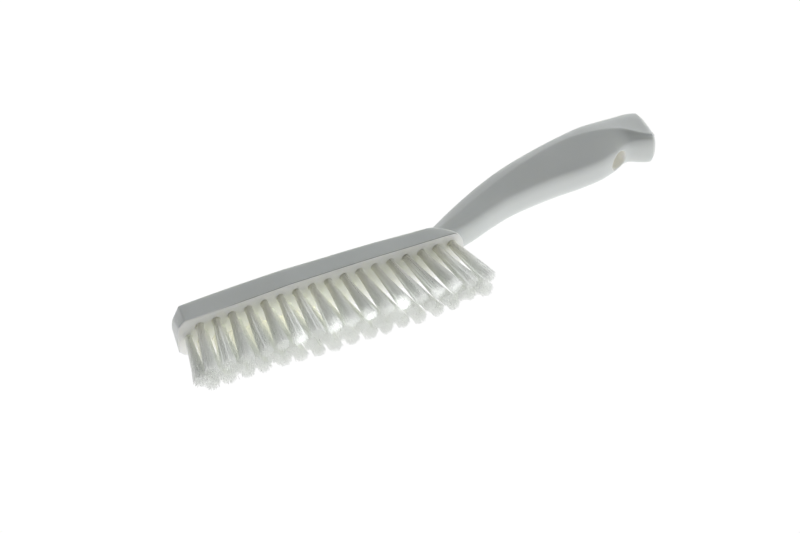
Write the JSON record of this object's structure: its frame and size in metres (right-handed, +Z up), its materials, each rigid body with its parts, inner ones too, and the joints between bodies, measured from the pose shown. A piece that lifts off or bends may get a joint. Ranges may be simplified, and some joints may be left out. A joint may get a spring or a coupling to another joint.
{
  "type": "hand brush",
  "caption": "Long-handled moulded hand brush: straight block with splayed bristle tufts and a raised curved grip ending in a hook-shaped heel with a hang hole.",
  "frame": {"origin": "centre of the bounding box at its bottom, level with the lower side of the block that the brush lies on", "axes": "+X along the brush from the bristle block's toe to the hanging end, +Y from the bristle tips to the back of the grip, +Z up across the width"},
  "size_m": [0.3422, 0.0983, 0.0328],
  "materials": {
    "moulded_body": "satin moulded polypropylene, white",
    "tuft_filament": "translucent off-white filament"
  },
  "bodies": {
    "root": {"brush_body": "moulded_body", "tuft_upper_01": "tuft_filament", "tuft_upper_02": "tuft_filament", "tuft_upper_03": "tuft_filament", "tuft_upper_04": "tuft_filament", "tuft_upper_05": "tuft_filament", "tuft_upper_06": "tuft_filament", "tuft_upper_07": "tuft_filament", "tuft_upper_08": "tuft_filament", "tuft_upper_09": "tuft_filament", "tuft_upper_10": "tuft_filament", "tuft_upper_11": "tuft_filament", "tuft_upper_12": "tuft_filament", "tuft_upper_13": "tuft_filament", "tuft_upper_14": "tuft_filament", "tuft_upper_15": "tuft_filament", "tuft_upper_16": "tuft_filament", "tuft_upper_17": "tuft_filament", "tuft_middle_01": "tuft_filament", "tuft_middle_02": "tuft_filament", "tuft_middle_03": "tuft_filament", "tuft_middle_04": "tuft_filament", "tuft_middle_05": "tuft_filament", "tuft_middle_06": "tuft_filament", "tuft_middle_07": "tuft_filament", "tuft_middle_08": "tuft_filament", "tuft_middle_09": "tuft_filament", "tuft_middle_10": "tuft_filament", "tuft_middle_11": "tuft_filament", "tuft_middle_12": "tuft_filament", "tuft_middle_13": "tuft_filament", "tuft_middle_14": "tuft_filament", "tuft_middle_15": "tuft_filament", "tuft_middle_16": "tuft_filament", "tuft_middle_17": "tuft_filament", "tuft_lower_01": "tuft_filament", "tuft_lower_02": "tuft_filament", "tuft_lower_03": "tuft_filament", "tuft_lower_04": "tuft_filament", "tuft_lower_05": "tuft_filament", "tuft_lower_06": "tuft_filament", "tuft_lower_07": "tuft_filament", "tuft_lower_08": "tuft_filament", "tuft_lower_09": "tuft_filament", "tuft_lower_10": "tuft_filament", "tuft_lower_11": "tuft_filament", "tuft_lower_12": "tuft_filament", "tuft_lower_13": "tuft_filament", "tuft_lower_14": "tuft_filament", "tuft_lower_15": "tuft_filament", "tuft_lower_16": "tuft_filament", "tuft_lower_17": "tuft_filament"}
  },
  "joints": []
}
